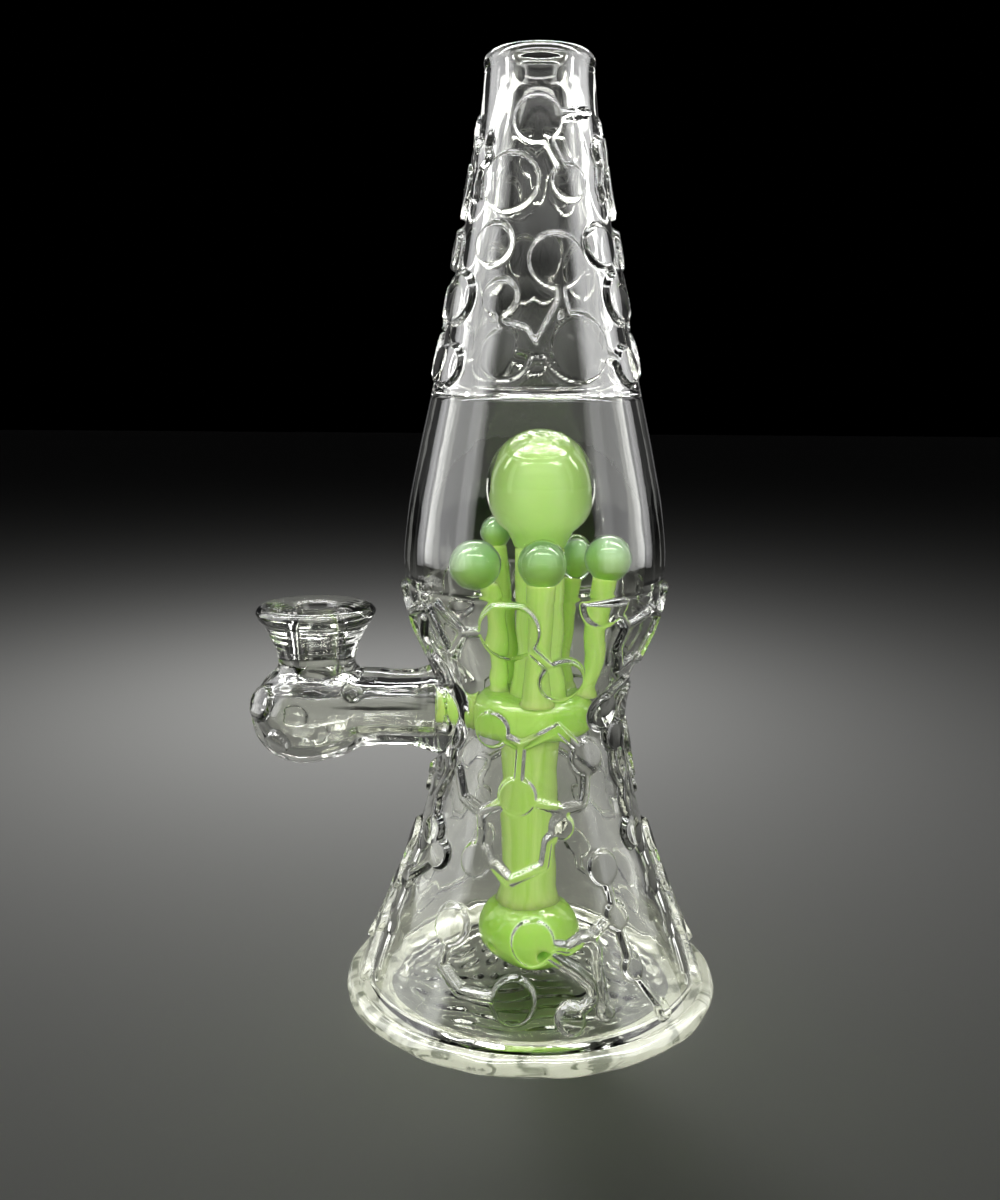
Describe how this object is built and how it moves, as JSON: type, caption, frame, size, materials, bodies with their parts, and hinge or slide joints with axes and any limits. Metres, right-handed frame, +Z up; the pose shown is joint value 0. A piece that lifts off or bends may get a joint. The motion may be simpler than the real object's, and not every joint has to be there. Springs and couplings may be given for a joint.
{
  "type": "glass water pipe",
  "caption": "Clear blown-glass water pipe in a lava-lamp outline, with molecule relief, a coloured inner percolator with blob-tipped fingers, and a side arm with a ground joint.",
  "frame": {"origin": "centre of the flat underside of the base, on the vessel's axis", "axes": "+Z up along the vessel's axis, the front faces -Y, the side arm points to -X"},
  "size_m": [0.1145, 0.092, 0.222],
  "materials": {
    "clear_glass": "clear polished",
    "green_glass": "translucent slime green, polished",
    "tip_glass": "translucent blue-green, polished"
  },
  "bodies": {
    "root": {"foot_rim": "clear_glass", "base_plate": "clear_glass", "skirt_section": "clear_glass", "waist_section": "clear_glass", "belly_band": "clear_glass", "neck_section": "clear_glass", "mouthpiece_lip": "clear_glass", "side_arm_tube": "clear_glass", "side_arm_bulb": "clear_glass", "arm_weld_collar": "clear_glass", "joint_socket": "clear_glass", "joint_flange": "clear_glass", "perc_inlet_tube": "green_glass", "perc_deck": "green_glass", "downtube": "green_glass", "diffuser_puck": "green_glass", "centre_column": "green_glass", "centre_blob": "green_glass", "finger_stalk_1": "green_glass", "finger_stalk_2": "green_glass", "finger_stalk_3": "green_glass", "finger_stalk_4": "green_glass", "finger_stalk_5": "green_glass", "finger_blob_1": "tip_glass", "finger_blob_2": "tip_glass", "finger_blob_3": "tip_glass", "finger_blob_4": "tip_glass", "finger_blob_5": "tip_glass"}
  },
  "joints": []
}
